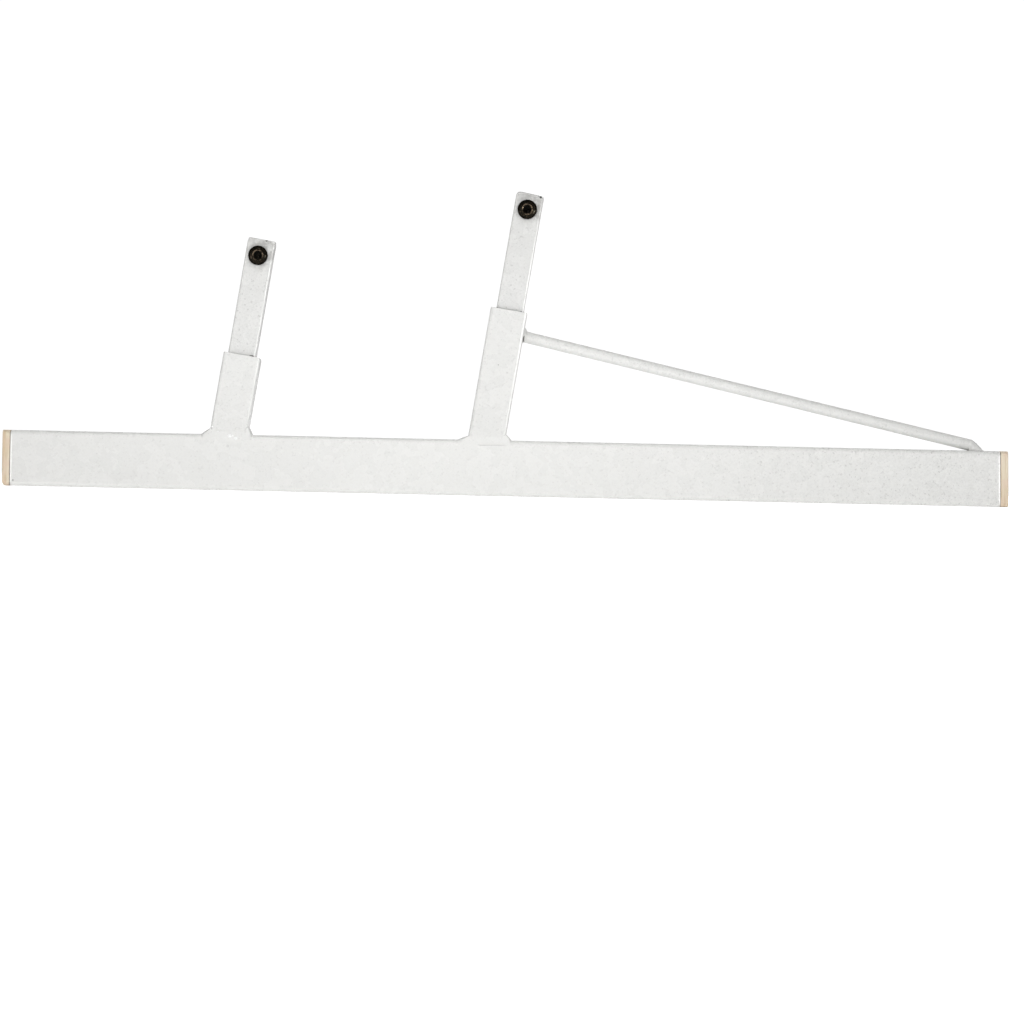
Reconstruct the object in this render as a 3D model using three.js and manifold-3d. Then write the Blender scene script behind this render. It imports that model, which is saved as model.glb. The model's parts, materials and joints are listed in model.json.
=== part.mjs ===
// Roof bracket: a square-tube arm that carries two leaning telescopic posts and a diagonal brace.
//
// Millimetres, +Z up. +X runs along the arm towards the brace end, and the posts lean that way.
// The flush face, where the arm and both sleeves share one plane, looks towards -Y.
// The origin is the middle of the arm's underside.

import * as THREE from 'three';
import { mergeVertices } from 'three/addons/utils/BufferGeometryUtils.js';
import Module from 'manifold-3d';

// ---------------------------------------------------------------- driving dimensions

const GAP = 0.3; // clearance between pieces that touch or are welded
const OVERCUT = 1; // how far a hole's cutter runs past the surface it opens in
const LEAN = THREE.MathUtils.degToRad(8.7); // lean of both posts away from the arm's normal
const REACH = 400; // half size of the blocks that cut a piece at a plane

const ARM = { size: 60, wall: 3, corner: 5, length: 1063 };
const SLEEVE = { size: 40, wall: 3, corner: 4 };
const POST = { size: 30, wall: 2.5, corner: 3, length: 176 };
const CAP = { thickness: 3, corner: 2.5 };

// Each post: where its axis meets the arm's top, its sleeve's length, how far the inner post stands out of it and
// off its axis, how far the screw sits off the inner post's axis, and the [run, rise] of the welds at its foot.
const SHORT = {
  name: 'short',
  footX: -298,
  sleeve: 87,
  exposed: 126,
  play: -0.4,
  screwSide: -1.2,
  weldBack: [8.5, 6.5],
  weldFore: [5, 8],
};
const TALL = {
  name: 'tall',
  footX: -20.5,
  sleeve: 142,
  exposed: 127.5,
  play: 1,
  screwSide: -0.5,
  weldBack: [10.5, 4.2],
  weldFore: [6.5, 6.2],
};

const THREAD = { major: 12, minor: 10.2, pitch: 1.75 }; // M12 coarse
const SCREW = {
  head: 21,
  headHeight: 6.6,
  rim: 1.2, // height of the edge under the crown
  land: 5, // radius of the flat around the socket
  socket: 8,
  socketDepth: 4.5,
  length: 20,
  pointTaper: 0.6, // how much thinner the thread's end is than its root
  fromTop: 17.9,
};
const BUSH = { diameter: 18, counterbore: 17.5 };

const BRACE = { diameter: 12, belowRim: 25.2, endX: 501, endHeight: 5.8 };
const REAR_WELD_LEG = 7; // fillet at the foot of each sleeve on the side away from the flush face
const BRACE_TOE = { reach: 14.5, width: 13, sole: 1 }; // weld from the brace's lower end to the arm's top
const BRACE_COLLAR = { leg: 4, length: 5, lift: -1 }; // weld over the brace's upper end

const BLOCK = { flange: 8.5, tenon: 25 };
const BRAD = { diameter: 2.2, length: 16, point: 2, sunk: 0.3, fromEnd: 3.6, height: 6 };

const ROUND_STEPS = 40; // facets around a turned surface
const CORNER_STEPS = 6; // facets in a rounded tube corner

const sleeveY = (SLEEVE.size - ARM.size) / 2; // the posts' mid-plane, which puts the sleeves flush at -Y

// ---------------------------------------------------------------- materials

const paint = new THREE.MeshStandardMaterial({ color: 0xe9e9e7, roughness: 0.4, metalness: 0 });
const blackSteel = new THREE.MeshStandardMaterial({ color: 0x1d1916, roughness: 0.35, metalness: 0.8 });
const bareSteel = new THREE.MeshStandardMaterial({ color: 0x55524e, roughness: 0.45, metalness: 0.9 });
const wood = new THREE.MeshStandardMaterial({ color: 0xe0d3be, roughness: 0.75, metalness: 0 });

// ---------------------------------------------------------------- solids

const manifold = await Module();
manifold.setup();

/** A closed three.js geometry as a solid that can be joined and cut. */
function solid(geometry) {
  geometry.deleteAttribute('normal');
  geometry.deleteAttribute('uv');
  const merged = mergeVertices(geometry, 1e-4);
  const vertProperties = new Float32Array(merged.attributes.position.array);
  const triVerts = new Uint32Array(merged.index.array);
  return new manifold.Manifold(new manifold.Mesh({ numProp: 3, vertProperties, triVerts }));
}

/** A solid's surface as a flat-shaded geometry. */
function surface(body) {
  const mesh = body.getMesh();
  const geometry = new THREE.BufferGeometry();
  const stride = mesh.numProp;
  const positions = new Float32Array((mesh.vertProperties.length / stride) * 3);
  for (let i = 0; i < positions.length / 3; i += 1) {
    positions.set(mesh.vertProperties.subarray(i * stride, i * stride + 3), i * 3);
  }
  geometry.setAttribute('position', new THREE.BufferAttribute(positions, 3));
  geometry.setIndex(new THREE.BufferAttribute(new Uint32Array(mesh.triVerts), 1));
  geometry.computeVertexNormals();
  return geometry;
}

/** A square outline with rounded corners, centred on the origin. */
function roundedSquare(size, corner) {
  const half = size / 2;
  const inner = half - corner;
  const shape = new THREE.Shape();
  shape.moveTo(half, -inner);
  shape.lineTo(half, inner);
  shape.absarc(inner, inner, corner, 0, Math.PI / 2, false);
  shape.lineTo(-inner, half);
  shape.absarc(-inner, inner, corner, Math.PI / 2, Math.PI, false);
  shape.lineTo(-half, -inner);
  shape.absarc(-inner, -inner, corner, Math.PI, 1.5 * Math.PI, false);
  shape.lineTo(inner, -half);
  shape.absarc(inner, -inner, corner, 1.5 * Math.PI, 2 * Math.PI, false);
  return shape;
}

/** A square bar with rounded corners along +Z, from the given height up. */
function squareBar(size, corner, length, from = 0) {
  const shape = roundedSquare(size, corner);
  const bar = new THREE.ExtrudeGeometry(shape, { depth: length, bevelEnabled: false, curveSegments: CORNER_STEPS });
  return solid(bar.translate(0, 0, from));
}

/** A square tube along +Z. */
function squareTube({ size, wall, corner }, length, from = 0) {
  const bore = squareBar(size - 2 * wall, corner - wall + GAP, length + 2 * OVERCUT, from - OVERCUT);
  return squareBar(size, corner, length, from).subtract(bore);
}

/** A polygon in the XZ plane extruded between two Y values. */
function plateXZ(points, fromY, toY) {
  const shape = new THREE.Shape(points.map(([x, z]) => new THREE.Vector2(x, z)));
  const plate = new THREE.ExtrudeGeometry(shape, { depth: toY - fromY, bevelEnabled: false });
  return solid(plate.rotateX(Math.PI / 2).translate(0, toY, 0));
}

/** A polygon in the YZ plane extruded between two X values. */
function plateYZ(points, fromX, toX) {
  const shape = new THREE.Shape(points.map(([y, z]) => new THREE.Vector2(y, z)));
  const plate = new THREE.ExtrudeGeometry(shape, { depth: toX - fromX, bevelEnabled: false });
  const [alongY, alongZ, alongX] = [[0, 1, 0], [0, 0, 1], [1, 0, 0]].map((axis) => new THREE.Vector3(...axis));
  const turn = new THREE.Matrix4().makeBasis(alongY, alongZ, alongX);
  return solid(plate.applyMatrix4(turn).translate(fromX, 0, 0));
}

/** A round bar along Y between two Y values. */
function roundBarY(diameter, fromY, toY, x = 0, z = 0) {
  const bar = new THREE.CylinderGeometry(diameter / 2, diameter / 2, toY - fromY, ROUND_STEPS);
  return solid(bar.translate(x, (fromY + toY) / 2, z));
}

/** Everything below height z, measured in the arm's frame, as seen from a leaning post's frame. */
function belowArmHeight(z) {
  const block = new THREE.BoxGeometry(2 * REACH, 2 * REACH, REACH);
  return solid(block.translate(0, 0, z - REACH / 2).rotateY(-LEAN));
}

function namedMesh(name, body, material) {
  const mesh = new THREE.Mesh(surface(body), material);
  mesh.name = name;
  return mesh;
}

// ---------------------------------------------------------------- arm

/** The brads that hold the end blocks: which end of the arm, which side, and where each one sits. */
function bradPlaces() {
  const x = ARM.length / 2 - BRAD.fromEnd;
  return [
    { name: 'rear_brad_flush_side', x: -x, side: -1 },
    { name: 'rear_brad_back_side', x: -x, side: 1 },
    { name: 'brace_end_brad_back_side', x, side: 1 },
  ];
}

function bradHole({ x, side }) {
  const outer = ARM.size / 2 + OVERCUT;
  const inner = ARM.size / 2 - BRAD.length - OVERCUT;
  const [from, to] = side < 0 ? [-outer, -inner] : [inner, outer];
  return roundBarY(BRAD.diameter + 2 * GAP, from, to, x, BRAD.height);
}

function armTube() {
  const along = new THREE.Matrix4().makeRotationY(Math.PI / 2);
  along.setPosition(0, 0, ARM.size / 2);
  let tube = squareTube(ARM, ARM.length, -ARM.length / 2).transform(along.elements);
  for (const place of bradPlaces()) {
    tube = tube.subtract(bradHole(place));
  }
  return namedMesh('arm_tube', tube, paint);
}

/** A wooden plug: a tenon inside the tube and a flange as large as the tube outside it. */
function endBlock(name, end) {
  const flangeStart = ARM.length / 2 + GAP;
  const tenonSize = ARM.size - 2 * ARM.wall - 2 * GAP;
  const tenonCorner = ARM.corner - ARM.wall + GAP;
  const tenon = squareBar(tenonSize, tenonCorner, BLOCK.tenon + OVERCUT, flangeStart - BLOCK.tenon);
  const flange = squareBar(ARM.size, ARM.corner, BLOCK.flange - GAP, flangeStart);
  const along = new THREE.Matrix4().makeRotationY((end * Math.PI) / 2);
  along.setPosition(0, 0, ARM.size / 2);
  let block = flange.add(tenon).transform(along.elements);
  for (const place of bradPlaces()) {
    if (Math.sign(place.x) === end) {
      block = block.subtract(bradHole(place));
    }
  }
  return namedMesh(name, block, wood);
}

/** A headless brad, sunk just below the face of the arm's wall. */
function brad({ name, x, side }) {
  const start = ARM.size / 2 - BRAD.sunk;
  const radius = BRAD.diameter / 2;
  const outline = [
    [0, start - BRAD.length],
    [radius, start - BRAD.length + BRAD.point],
    [radius, start],
    [0, start],
  ];
  const profile = outline.map(([r, y]) => new THREE.Vector2(r, y));
  const turned = new THREE.LatheGeometry(profile, ROUND_STEPS / 2);
  if (side < 0) {
    turned.rotateX(Math.PI);
  }
  return namedMesh(name, solid(turned.translate(x, 0, BRAD.height)), bareSteel);
}

// ---------------------------------------------------------------- posts, each in its own leaning frame

/** A post's frame: the origin where its axis meets the arm's top, +Z up the post. */
function postFrame({ footX }) {
  const frame = new THREE.Group();
  frame.position.set(footX, sleeveY, ARM.size);
  frame.rotation.y = LEAN;
  return frame;
}

function sleeve(post) {
  const root = -SLEEVE.size; // long enough to be mitred at the arm's top
  const tube = squareTube(SLEEVE, post.sleeve - root, root).subtract(belowArmHeight(GAP));
  return namedMesh(`${post.name}_sleeve`, tube, paint);
}

/** The weld around a sleeve's foot: fillets on three sides, and the flush side filled level. */
function sleeveWeld(post) {
  const half = SLEEVE.size / 2;
  const halfFoot = half / Math.cos(LEAN); // the leaning sleeve's footprint is longer than its width
  const slope = Math.tan(LEAN);
  const [backRun, backRise] = post.weldBack;
  const [foreRun, foreRise] = post.weldFore;
  const along = [
    [-halfFoot - backRun, GAP],
    [halfFoot + foreRun, GAP],
    [halfFoot + slope * foreRise, foreRise],
    [-halfFoot + slope * backRise, backRise],
  ];
  const across = [
    [-half, GAP],
    [half + REAR_WELD_LEG, GAP],
    [half, REAR_WELD_LEG],
    [-half, Math.max(backRise, foreRise)],
  ];
  const fillets = plateXZ(along, -REACH, REACH).intersect(plateYZ(across, -REACH, REACH));

  const fillSize = ARM.corner - GAP;
  const fill = new THREE.BoxGeometry(2 * halfFoot + foreRun, fillSize, fillSize);
  fill.translate(0, (fillSize - SLEEVE.size) / 2, 2 * GAP - fillSize / 2);
  const armCorner = new THREE.CylinderGeometry(ARM.corner + GAP, ARM.corner + GAP, REACH, 4 * ROUND_STEPS);
  armCorner.rotateZ(Math.PI / 2).translate(0, ARM.corner - half, -ARM.corner);
  const upright = fillets.add(solid(fill)).subtract(solid(armCorner));

  const leaning = upright.transform(new THREE.Matrix4().makeRotationY(-LEAN).elements);
  const room = squareBar(SLEEVE.size + 2 * GAP, SLEEVE.corner + GAP, 2 * REACH, -REACH);
  const weld = leaning.subtract(room.subtract(belowArmHeight(0)));
  return namedMesh(`${post.name}_sleeve_weld`, weld, paint);
}

/** The inner post's own frame, within the post frame: the origin on its lower end. */
function innerFrame(post) {
  const frame = new THREE.Group();
  frame.position.set(post.play, 0, post.sleeve + post.exposed - POST.length);
  return frame;
}

const screwHeight = POST.length - SCREW.fromTop; // above the inner post's lower end

function innerPost(post) {
  const halfWall = POST.size / 2;
  const tube = squareTube(POST, POST.length - CAP.thickness - GAP);
  const clearHole = roundBarY(THREAD.major + 2 * GAP, -halfWall - OVERCUT, 0, post.screwSide, screwHeight);
  const tappedHole = roundBarY(THREAD.minor, -OVERCUT, halfWall + OVERCUT, post.screwSide, screwHeight);
  return namedMesh(`${post.name}_inner_post`, tube.subtract(clearHole).subtract(tappedHole), paint);
}

/** The plate that closes an inner post, with its two side corners dressed round. */
function postCap(post) {
  const half = POST.size / 2;
  const outline = new THREE.Shape();
  outline.moveTo(-half, 0);
  outline.lineTo(half, 0);
  outline.lineTo(half, CAP.thickness - CAP.corner);
  outline.absarc(half - CAP.corner, CAP.thickness - CAP.corner, CAP.corner, 0, Math.PI / 2, false);
  outline.lineTo(CAP.corner - half, CAP.thickness);
  outline.absarc(CAP.corner - half, CAP.thickness - CAP.corner, CAP.corner, Math.PI / 2, Math.PI, false);
  const settings = { depth: POST.size, bevelEnabled: false, curveSegments: CORNER_STEPS };
  const plate = new THREE.ExtrudeGeometry(outline, settings);
  plate.rotateX(Math.PI / 2).translate(0, half, POST.length - CAP.thickness);
  const square = squareBar(POST.size, POST.corner, POST.length);
  return namedMesh(`${post.name}_post_cap`, solid(plate).intersect(square), paint);
}

/** The threaded bush between the inner post's two walls. */
function threadBush(post) {
  const half = POST.size / 2 - POST.wall - GAP;
  const bar = roundBarY(BUSH.diameter, -half, half, post.screwSide, screwHeight);
  const start = -half - OVERCUT;
  const wide = roundBarY(THREAD.major + 2 * GAP, start, BUSH.counterbore - half, post.screwSide, screwHeight);
  const narrow = roundBarY(THREAD.minor, start, half + OVERCUT, post.screwSide, screwHeight);
  return namedMesh(`${post.name}_post_bush`, bar.subtract(wide).subtract(narrow), bareSteel);
}

/** A button-head socket screw along Y, its head on the post's flush side. */
function screw(post) {
  const seat = POST.size / 2 + GAP;
  const headRadius = SCREW.head / 2;
  const shank = THREAD.major / 2;
  const crownRise = SCREW.headHeight - SCREW.rim;
  const { land } = SCREW;
  const points = [new THREE.Vector2(0, seat + SCREW.headHeight), new THREE.Vector2(land, seat + SCREW.headHeight)];
  const crown = new THREE.EllipseCurve(land, seat + SCREW.rim, headRadius - land, crownRise, Math.PI / 2, 0, true);
  points.push(...crown.getPoints(CORNER_STEPS).slice(1));
  points.push(new THREE.Vector2(headRadius, seat + SCREW.rim / 2));
  points.push(new THREE.Vector2(headRadius - SCREW.rim / 2, seat));
  points.push(new THREE.Vector2(shank, seat));
  points.push(new THREE.Vector2(shank, seat - SCREW.length + THREAD.pitch));
  points.push(new THREE.Vector2((THREAD.minor - SCREW.pointTaper) / 2, seat - SCREW.length));
  points.push(new THREE.Vector2(0, seat - SCREW.length));
  const turned = new THREE.LatheGeometry(points.reverse(), ROUND_STEPS);

  const acrossCorners = SCREW.socket / Math.cos(Math.PI / 6);
  const hex = new THREE.CylinderGeometry(acrossCorners / 2, acrossCorners / 2, 2 * SCREW.socketDepth, 6);
  hex.translate(0, seat + SCREW.headHeight, 0);
  const body = solid(turned).subtract(solid(hex));

  const place = new THREE.Matrix4().makeRotationX(Math.PI);
  place.setPosition(post.screwSide, 0, screwHeight);
  return namedMesh(`${post.name}_post_screw`, body.transform(place.elements), blackSteel);
}

function postAssembly(post) {
  const frame = postFrame(post);
  const inner = innerFrame(post);
  inner.add(innerPost(post), postCap(post), threadBush(post), screw(post));
  frame.add(sleeve(post), sleeveWeld(post), inner);
  return frame;
}

// ---------------------------------------------------------------- brace

const braceTop = new THREE.Vector3(SLEEVE.size / 2, 0, TALL.sleeve - BRACE.belowRim)
  .applyAxisAngle(new THREE.Vector3(0, 1, 0), LEAN)
  .add(new THREE.Vector3(TALL.footX, 0, ARM.size));
const braceEnd = new THREE.Vector3(BRACE.endX, 0, ARM.size + BRACE.endHeight);
const braceLength = braceTop.distanceTo(braceEnd);
const braceSlope = Math.atan2(braceTop.z - braceEnd.z, braceEnd.x - braceTop.x);

/** The brace's frame: the origin where its axis meets the tall sleeve, +X down the brace. */
function braceFrame() {
  const frame = new THREE.Group();
  frame.position.set(braceTop.x, sleeveY, braceTop.z);
  frame.rotation.y = braceSlope;
  return frame;
}

/** A bar or cone along the brace's +X. */
function braceBar(startDiameter, endDiameter, from, to) {
  const bar = new THREE.CylinderGeometry(endDiameter / 2, startDiameter / 2, to - from, ROUND_STEPS);
  return solid(bar.rotateZ(-Math.PI / 2).translate((from + to) / 2, 0, 0));
}

/** The tall sleeve's side of a plane GAP clear of its wall, seen from the brace's frame. */
function sleeveSide() {
  const block = new THREE.BoxGeometry(REACH, REACH, REACH);
  return solid(block.translate(GAP - REACH / 2, 0, 0).rotateY(LEAN - braceSlope));
}

/** Everything below the arm's top plus GAP, seen from the brace's frame. */
function armSide() {
  const block = new THREE.BoxGeometry(4 * REACH, REACH, REACH);
  block.translate(0, 0, ARM.size + GAP - REACH / 2 - braceTop.z);
  return solid(block.rotateY(-braceSlope));
}

function braceRod() {
  const bar = braceBar(BRACE.diameter, BRACE.diameter, -BRACE.diameter, braceLength);
  return namedMesh('brace_rod', bar.subtract(sleeveSide()).subtract(armSide()), paint);
}

/** A collar of weld over the top half of the brace where it meets the sleeve. */
function braceUpperWeld() {
  const wide = BRACE.diameter + 2 * BRACE_COLLAR.leg;
  const cone = braceBar(wide, BRACE.diameter, -GAP, BRACE_COLLAR.length);
  const rod = braceBar(BRACE.diameter + 2 * GAP, BRACE.diameter + 2 * GAP, -BRACE.diameter, BRACE.diameter);
  const lower = new THREE.BoxGeometry(REACH, REACH, REACH).translate(0, 0, BRACE_COLLAR.lift - REACH / 2);
  const collar = cone.subtract(rod).subtract(solid(lower)).subtract(sleeveSide());
  return namedMesh('brace_upper_weld', collar, paint);
}

/** The weld that runs from the brace's square-cut lower end down to the arm. */
function braceLowerWeld() {
  const toe = new THREE.Vector3(BRACE.endX + BRACE_TOE.reach, 0, ARM.size)
    .sub(braceTop)
    .applyAxisAngle(new THREE.Vector3(0, 1, 0), -braceSlope);
  const start = braceLength + GAP;
  const top = BRACE.diameter / 2 - GAP;
  const sole = toe.z - BRACE_TOE.sole;
  const profile = [[start, sole], [toe.x, sole], [toe.x, toe.z], [start, top]];
  const wedge = plateXZ(profile, -BRACE_TOE.width / 2, BRACE_TOE.width / 2);
  return namedMesh('brace_lower_weld', wedge.subtract(armSide()), paint);
}

// ---------------------------------------------------------------- assembly

const bracket = new THREE.Group();
bracket.add(armTube(), endBlock('rear_end_block', -1), endBlock('brace_end_block', 1));
for (const place of bradPlaces()) {
  bracket.add(brad(place));
}
bracket.add(postAssembly(SHORT), postAssembly(TALL));

const brace = braceFrame();
brace.add(braceRod(), braceUpperWeld(), braceLowerWeld());
bracket.add(brace);

export default bracket;
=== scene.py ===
"""Looks for the roof bracket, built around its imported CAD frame.

Metres, in the row frame: +X along the arm towards the brace end, +Z up, and the flush face towards -Y.
Every painted tube, weld, screw and wooden plug is built here as a finished mesh on the CAD's own sizes.
"""

import json
import math

import bmesh
import bpy
from mathutils import Matrix, Vector, noise


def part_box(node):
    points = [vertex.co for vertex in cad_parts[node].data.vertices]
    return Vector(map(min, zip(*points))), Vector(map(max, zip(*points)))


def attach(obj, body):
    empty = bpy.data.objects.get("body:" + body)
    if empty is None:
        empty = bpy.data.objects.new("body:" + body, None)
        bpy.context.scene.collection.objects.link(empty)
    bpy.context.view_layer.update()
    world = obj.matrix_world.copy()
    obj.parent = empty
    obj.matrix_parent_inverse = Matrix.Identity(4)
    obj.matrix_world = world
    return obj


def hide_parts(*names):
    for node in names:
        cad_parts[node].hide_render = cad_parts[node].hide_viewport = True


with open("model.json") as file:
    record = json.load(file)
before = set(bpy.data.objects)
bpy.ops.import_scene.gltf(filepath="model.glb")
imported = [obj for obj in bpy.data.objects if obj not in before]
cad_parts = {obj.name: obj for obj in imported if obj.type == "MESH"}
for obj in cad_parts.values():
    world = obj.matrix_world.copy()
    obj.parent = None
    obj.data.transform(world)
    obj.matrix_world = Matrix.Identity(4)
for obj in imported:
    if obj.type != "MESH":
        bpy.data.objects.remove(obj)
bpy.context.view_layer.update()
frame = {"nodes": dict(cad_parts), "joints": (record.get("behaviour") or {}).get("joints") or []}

MM = 0.001
UP = Vector((0, 0, 1))

# ---------- sizes the CAD doesn't state as boxes

ARM_WALL, ARM_CORNER = 3 * MM, 5 * MM
SLEEVE_WALL, SLEEVE_CORNER = 3 * MM, 4 * MM
POST_WALL, POST_CORNER = 2.5 * MM, 3 * MM
CUT_LIP = 0.45 * MM  # radius left on a cut tube end under the paint
ARM_BEVEL_LENGTH, ARM_BEVEL_DEPTH = 1.7 * MM, 0.6 * MM  # the arm's ends are dressed with a shallow bevel
ARM_OUT_OF_SQUARE = 1.5 * MM  # how much longer the arm's underside is than its top, at the brace end
CORNER_STEPS = 10
ROUND_STEPS = 72

THREAD_MAJOR, THREAD_MINOR, THREAD_PITCH = 6.0 * MM, 5.0 * MM, 1.75 * MM
THREAD_CLEARANCE = 0.1 * MM
SOCKET_ACROSS, SOCKET_DEPTH = 8 * MM, 4.5 * MM

WELD_VOXEL, BRACE_WELD_VOXEL = 0.4 * MM, 0.3 * MM
SLIVER = 0.002 * MM  # points closer than this count as one


# ---------- places, read from the frame

arm_low, arm_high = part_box("arm_tube")
arm_centre = (arm_low + arm_high) / 2
flush_y = arm_low.y
lean_axis = Vector(next(j["axis"] for j in frame["joints"] if j["name"] == "tall_post_slide")).normalized()


def extent(node, place):
    """A CAD node's lowest and highest corners in a frame of its own."""
    inverse = place.inverted()
    points = [inverse @ v.co for v in frame["nodes"][node].data.vertices]
    low = Vector([min(p[i] for p in points) for i in range(3)])
    high = Vector([max(p[i] for p in points) for i in range(3)])
    return low, high


def axes_matrix(origin, x_axis, y_axis, z_axis):
    """A placement with the given origin and axes."""
    turn = Matrix((x_axis, y_axis, z_axis)).transposed().to_4x4()
    return Matrix.Translation(origin) @ turn


def post_place(sleeve):
    """The leaning frame of a post: its origin where the sleeve's axis meets the arm's top."""
    y_axis = Vector((0, 1, 0))
    turned = axes_matrix(Vector(), y_axis.cross(lean_axis), y_axis, lean_axis)
    low, high = extent(sleeve, turned)
    on_axis = turned @ Vector(((low.x + high.x) / 2, (low.y + high.y) / 2, 0))
    climb = (arm_high.z - on_axis.z) / lean_axis.z
    return Matrix.Translation(on_axis + climb * lean_axis) @ turned


PLACES = {name: post_place(f"{name}_sleeve") for name in ("short", "tall")}


def foot(name):
    """Where a post's axis meets the arm's top, brought out to the flush face."""
    return Vector((PLACES[name].translation.x, flush_y, arm_high.z))


# ---------- mesh kit


def mesh_object(name, bm):
    """A bmesh as a scene object with outward faces."""
    bmesh.ops.recalc_face_normals(bm, faces=bm.faces)
    mesh = bpy.data.meshes.new(name)
    bm.to_mesh(mesh)
    bm.free()
    made = bpy.data.objects.new(name, mesh)
    bpy.context.scene.collection.objects.link(made)
    return made


def applied(made):
    """The object with its modifiers applied to its mesh."""
    graph = bpy.context.evaluated_depsgraph_get()
    mesh = bpy.data.meshes.new_from_object(made.evaluated_get(graph), depsgraph=graph)
    made.modifiers.clear()
    made.data = mesh
    return made


def smooth(made, sharp_degrees=35):
    """Smooth shading that keeps flat faces flat and edges crisp."""
    made.data.shade_smooth()
    made.data.set_sharp_from_angle(angle=math.radians(sharp_degrees))
    weighted = made.modifiers.new("flat_faces_stay_flat", "WEIGHTED_NORMAL")
    weighted.keep_sharp = True
    weighted.weight = 100
    return applied(made)


def finish_piece(made, material, body, slot, *stands_for):
    """Gives a piece its material and its body, and hides the CAD nodes it stands for."""
    made.data.materials.clear()
    made.data.materials.append(material)
    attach(made, body)
    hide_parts(*stands_for)
    return made


def solid(name, rings, closed=False):
    """A solid skinned over rings of equal count, closed on itself or with a flat cap at each end."""
    bm = bmesh.new()
    loops = [[bm.verts.new(point) for point in ring] for ring in rings]
    count = len(loops[0])
    bays = len(loops) if closed else len(loops) - 1
    for i in range(bays):
        near, far = loops[i], loops[(i + 1) % len(loops)]
        for j in range(count):
            k = (j + 1) % count
            bm.faces.new((near[j], near[k], far[k], far[j]))
    if not closed:
        bm.faces.new(loops[0])
        bm.faces.new(loops[-1])
    return mesh_object(name, bm)


def rounded_square(half, corner, steps=CORNER_STEPS):
    """Points around a square outline with round corners."""
    corner = max(corner, 0.2 * MM)
    inner = half - corner
    points = []
    for quarter, (sx, sy) in enumerate(((1, 1), (-1, 1), (-1, -1), (1, -1))):
        for step in range(steps + 1):
            angle = (quarter + step / steps) * math.pi / 2
            points.append((sx * inner + corner * math.cos(angle), sy * inner + corner * math.sin(angle)))
    return points


def quarter_arc(radius, steps=4):
    """(inset, setback) pairs that round a square edge: from the side to the end."""
    arc = []
    for step in range(steps + 1):
        angle = step / steps * math.pi / 2
        arc.append((radius * (1 - math.cos(angle)), radius * (1 - math.sin(angle))))
    return arc


def square_tube(name, place, section, low, high, edge=None):
    """A square tube along its own +Z, whose section is (half width, corner, wall).

    low and high give each end's height at a point (x, y) across it. edge is the outer edge's profile at both
    ends, as (inset, setback) pairs from the side to the end."""
    half, corner, wall = section
    inner_edge = quarter_arc(CUT_LIP)
    arc = edge or inner_edge
    top_out = [(inset, 1, setback) for inset, setback in arc]
    top_in = [(wall - inset, 1, setback) for inset, setback in reversed(inner_edge)]
    foot_in = [(wall - inset, 0, setback) for inset, setback in inner_edge]
    foot_out = [(inset, 0, setback) for inset, setback in reversed(arc)]
    rings = []
    for inset, end, setback in top_out + top_in + foot_in + foot_out:
        ring = []
        for x, y in rounded_square(half - inset, corner - inset):
            z = high(x, y) - setback if end else low(x, y) + setback
            ring.append(place @ Vector((x, y, z)))
        rings.append(ring)
    return solid(name, rings, closed=True)


def ring_points(radius, steps):
    """(x, y, angle) around a circle."""
    angles = [step / steps * math.tau for step in range(steps)]
    return [(radius * math.cos(a), radius * math.sin(a), a) for a in angles]


def round_ring(place, radius, height, steps):
    """A circle of points about a frame's Z axis."""
    return [place @ Vector((x, y, height)) for x, y, _ in ring_points(radius, steps)]


def lathe(name, place, profile, steps=ROUND_STEPS):
    """A solid turned about a frame's Z axis from (radius, height) pairs."""
    return solid(name, [round_ring(place, radius, height, steps) for radius, height in profile])


def without_slivers(made):
    """The object without the points that coincide and the faces without area that a cut can leave."""
    bm = bmesh.new()
    bm.from_mesh(made.data)
    bmesh.ops.remove_doubles(bm, verts=bm.verts, dist=SLIVER)
    bmesh.ops.dissolve_degenerate(bm, edges=bm.edges, dist=SLIVER)
    bm.to_mesh(made.data)
    bm.free()
    return made


def cut(made, *cutters):
    """Takes the cutters away from the piece, and removes them."""
    for cutter in cutters:
        boolean = made.modifiers.new("cut", "BOOLEAN")
        boolean.operation = "DIFFERENCE"
        boolean.solver = "EXACT"
        boolean.object = cutter
    applied(made)
    for cutter in cutters:
        bpy.data.objects.remove(cutter)
    return without_slivers(made)


def fused(name, parts, voxel=WELD_VOXEL, rounds=3):
    """Overlapping parts melted into one skin, as weld metal and paint would be."""
    bm = bmesh.new()
    for part in parts:
        bm.from_mesh(part.data)
        bpy.data.objects.remove(part)
    made = mesh_object(name, bm)
    remesh = made.modifiers.new("melt", "REMESH")
    remesh.mode = "VOXEL"
    remesh.voxel_size = voxel
    soften = made.modifiers.new("soften", "SMOOTH")
    soften.factor = 0.5
    soften.iterations = rounds
    applied(made)
    made.data.shade_smooth()
    return made


def wobble(point, scale, seed=0.0):
    """Smooth noise between about -1 and 1, at a feature size in metres."""
    return noise.noise(point / scale + Vector((seed, seed * 1.7, seed * 0.3)))


# ---------- material kit


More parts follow.
